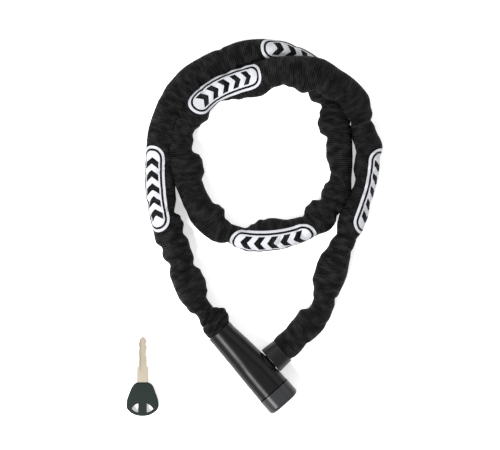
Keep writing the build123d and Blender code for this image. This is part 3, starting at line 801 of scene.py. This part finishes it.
def plastic_material(name, dark, pale, roughness, grain_size=900.0, grain=0.1, shine=0.35, seam=False):
    """Moulded plastic: fine grain, a slow change of tone, faint rubbing marks and, if asked, painted shade
    along the seam between casing and cap, black and without reflection.
    """
    material, shader = new_material(name)
    graph = Graph(material, shader)
    place = graph.place()
    slow = graph.noise(place, 28.0, 3.0)
    fine_grain = graph.noise(place, grain_size, 2.0)
    stretched = graph.add("ShaderNodeMapping", Vector=place)
    stretched.inputs["Scale"].default_value = (20, 260, 260)
    rubbed = graph.noise(stretched.outputs[0], 6.0, 4.0)
    tone = graph.math("ADD", graph.math("MULTIPLY", slow.outputs["Fac"], 0.6),
                      graph.math("MULTIPLY", fine_grain.outputs["Fac"], 0.4))
    colour = graph.mix(tone, dark, pale)
    shader.inputs["Specular IOR Level"].default_value = shine
    # Painted shade along the seam: black colour and no reflection, fading out between the two distances above.
    if seam:
        along = graph.add("ShaderNodeSeparateXYZ", Vector=place).outputs[0]
        gap = graph.math("ABSOLUTE", graph.math("SUBTRACT", along, SEAM_X))
        clear = graph.add("ShaderNodeMapRange", Value=gap)
        clear.inputs["From Min"].default_value = SEAM_SHADE_FULL
        clear.inputs["From Max"].default_value = SEAM_CLEAR
        colour = graph.mix(clear.outputs[0], (0.0002, 0.0002, 0.0002), colour)
        graph.put(shader.inputs["Specular IOR Level"], graph.math("MULTIPLY", clear.outputs[0], shine))
    graph.put(shader.inputs["Base Color"], colour)
    rough = graph.math("MULTIPLY", rubbed.outputs["Fac"], 0.12)
    graph.put(shader.inputs["Roughness"], graph.math("ADD", rough, roughness - 0.06))
    graph.bump(fine_grain.outputs["Fac"], grain, 0.00005)
    return material


def metal_material(name, dark, pale, roughness, brushed=(30, 400, 400)):
    """Machined metal: marks along one direction and a little uneven tone."""
    material, shader = new_material(name)
    graph = Graph(material, shader)
    place = graph.place()
    stretched = graph.add("ShaderNodeMapping", Vector=place)
    stretched.inputs["Scale"].default_value = brushed
    marks = graph.noise(stretched.outputs[0], 8.0, 5.0, 0.6)
    slow = graph.noise(place, 60.0, 3.0)
    tone = graph.math("ADD", graph.math("MULTIPLY", marks.outputs["Fac"], 0.6),
                      graph.math("MULTIPLY", slow.outputs["Fac"], 0.4))
    graph.put(shader.inputs["Base Color"], graph.mix(tone, dark, pale))
    graph.put(shader.inputs["Roughness"], graph.ramp(marks.outputs["Fac"], roughness - 0.1, roughness + 0.15))
    shader.inputs["Metallic"].default_value = 1.0
    graph.bump(marks.outputs["Fac"], 0.15, 0.00003)
    return material


def rubber_material():
    material, shader = new_material("seal_rubber")
    graph = Graph(material, shader)
    dust = graph.noise(graph.place(), 420.0, 4.0)
    colour = graph.mix(dust.outputs["Fac"], (0.001, 0.001, 0.001), (0.005, 0.005, 0.005))
    graph.put(shader.inputs["Base Color"], colour)
    shader.inputs["Specular IOR Level"].default_value = 0.1
    graph.put(shader.inputs["Roughness"], graph.ramp(dust.outputs["Fac"], 0.6, 0.85))
    graph.bump(dust.outputs["Fac"], 0.2, 0.0001)
    return material


CASING = {
    "dark": (0.002, 0.002, 0.0025), "pale": (0.004, 0.004, 0.0045),
    "roughness": 0.34, "shine": 0.16, "seam": True,
}
CAP = {
    "dark": (0.016, 0.0165, 0.018), "pale": (0.024, 0.0245, 0.0265),
    "roughness": 0.32, "shine": 0.19, "seam": True,
}
COLLAR = {
    "dark": (0.004, 0.004, 0.0045), "pale": (0.008, 0.008, 0.0085),
    "roughness": 0.36, "grain": 0.25, "shine": 0.18,
}
KEY_HEAD = {
    "dark": (0.006, 0.0105, 0.0095), "pale": (0.011, 0.017, 0.0155),
    "roughness": 0.45, "grain": 0.35, "shine": 0.1,
}
KEY_BRUSHED = (300, 300, 30)    # marks across the blade

MATERIALS = {
    "casing_plastic": plastic_material("casing_plastic", **CASING),
    "cap_plastic": plastic_material("cap_plastic", **CAP),
    "collar_plastic": plastic_material("collar_plastic", **COLLAR),
    "key_plastic": plastic_material("key_plastic", **KEY_HEAD),
    "steel": metal_material("steel", (0.42, 0.42, 0.43), (0.62, 0.62, 0.63), 0.32),
    "chain_steel": metal_material("chain_steel", (0.33, 0.33, 0.34), (0.52, 0.52, 0.53), 0.42),
    "brass": metal_material("brass", (0.55, 0.42, 0.20), (0.75, 0.60, 0.33), 0.3),
    "plug_metal": metal_material("plug_metal", (0.50, 0.49, 0.46), (0.70, 0.69, 0.65), 0.28),
    "key_metal": metal_material("key_metal", (0.34, 0.29, 0.22), (0.60, 0.54, 0.44), 0.3, KEY_BRUSHED),
    "seal_rubber": rubber_material(),
    "sleeve_fabric": fabric_material(),
}


def dress(piece, material):
    piece.data.materials.clear()
    piece.data.materials.append(material)


def dress_nodes():
    slots = {part["node"]: part["material_slot"] for part in frame["record"]["subparts"]}
    for name, node in frame["nodes"].items():
        for slot in node.material_slots:
            slot.material = MATERIALS[slots[name]]


dress_nodes()
dress(sleeve, MATERIALS["sleeve_fabric"])
dress(chain, MATERIALS["chain_steel"])
white_print = print_material()
for patch in patches:
    dress(patch, white_print)


# ---------------------------------------------------------------- floor and light

def add_floor():
    mesh = mesh_from("floor", [(-3, -3, 0), (3, -3, 0), (3, 3, 0), (-3, 3, 0)], [(0, 1, 2, 3)])
    floor = new_object("floor", mesh)
    material, shader = new_material("pale_floor")
    graph = Graph(material, shader)
    cloudy = graph.noise(graph.place(), 3.0, 3.0)
    colour = graph.mix(cloudy.outputs["Fac"], (0.90, 0.90, 0.90), (0.93, 0.93, 0.93))
    graph.put(shader.inputs["Base Color"], colour)
    shader.inputs["Roughness"].default_value = 0.9
    shader.inputs["Specular IOR Level"].default_value = 0.1
    shader.inputs["Emission Color"].default_value = (1, 1, 1, 1)
    shader.inputs["Emission Strength"].default_value = 0.5
    dress(floor, material)


def add_area_light(name, place, target, size, power):
    data = bpy.data.lights.new(name, "AREA")
    data.shape = "RECTANGLE"
    data.size, data.size_y = size
    data.energy = power
    light = bpy.data.objects.new(name, data)
    bpy.context.collection.objects.link(light)
    light.location = place
    light.rotation_euler = (Vector(target) - Vector(place)).to_track_quat("-Z", "Y").to_euler()


def add_world():
    """A white studio, less bright straight overhead, so that the lock's top stays dark."""
    world = bpy.data.worlds.new("studio")
    world.use_nodes = True
    tree = world.node_tree
    background = tree.nodes["Background"]
    direction = tree.nodes.new("ShaderNodeTexCoord")
    split = tree.nodes.new("ShaderNodeSeparateXYZ")
    overhead = tree.nodes.new("ShaderNodeMapRange")
    overhead.interpolation_type = "SMOOTHSTEP"
    overhead.inputs["From Min"].default_value = 0.55
    overhead.inputs["From Max"].default_value = 0.95
    overhead.inputs["To Min"].default_value = 0.55
    overhead.inputs["To Max"].default_value = 0.3
    tree.links.new(direction.outputs["Generated"], split.inputs[0])
    tree.links.new(split.outputs[2], overhead.inputs["Value"])
    tree.links.new(overhead.outputs[0], background.inputs["Strength"])
    background.inputs["Color"].default_value = (1, 1, 1, 1)
    bpy.context.scene.world = world


# Name, how far right, up and above the view's centre, size and power
LIGHTS = [
    ("key_light", (-0.62, -0.62, 1.1), (0.8, 0.36), 36),
    ("fill", (1.0, 0.9, 1.3), (1.7, 1.4), 11),
    ("back", (-0.9, 1.2, 1.3), (1.7, 1.4), 11),
]


def add_lights():
    for name, (right, up_picture, above), size, power in LIGHTS:
        place = VIEW_CENTRE + PICTURE_RIGHT * right + PICTURE_UP * up_picture + Vector((0, 0, above))
        add_area_light(name, place, VIEW_CENTRE, size, power)


add_floor()
add_world()
add_lights()
bpy.context.scene.view_settings.view_transform = "Standard"
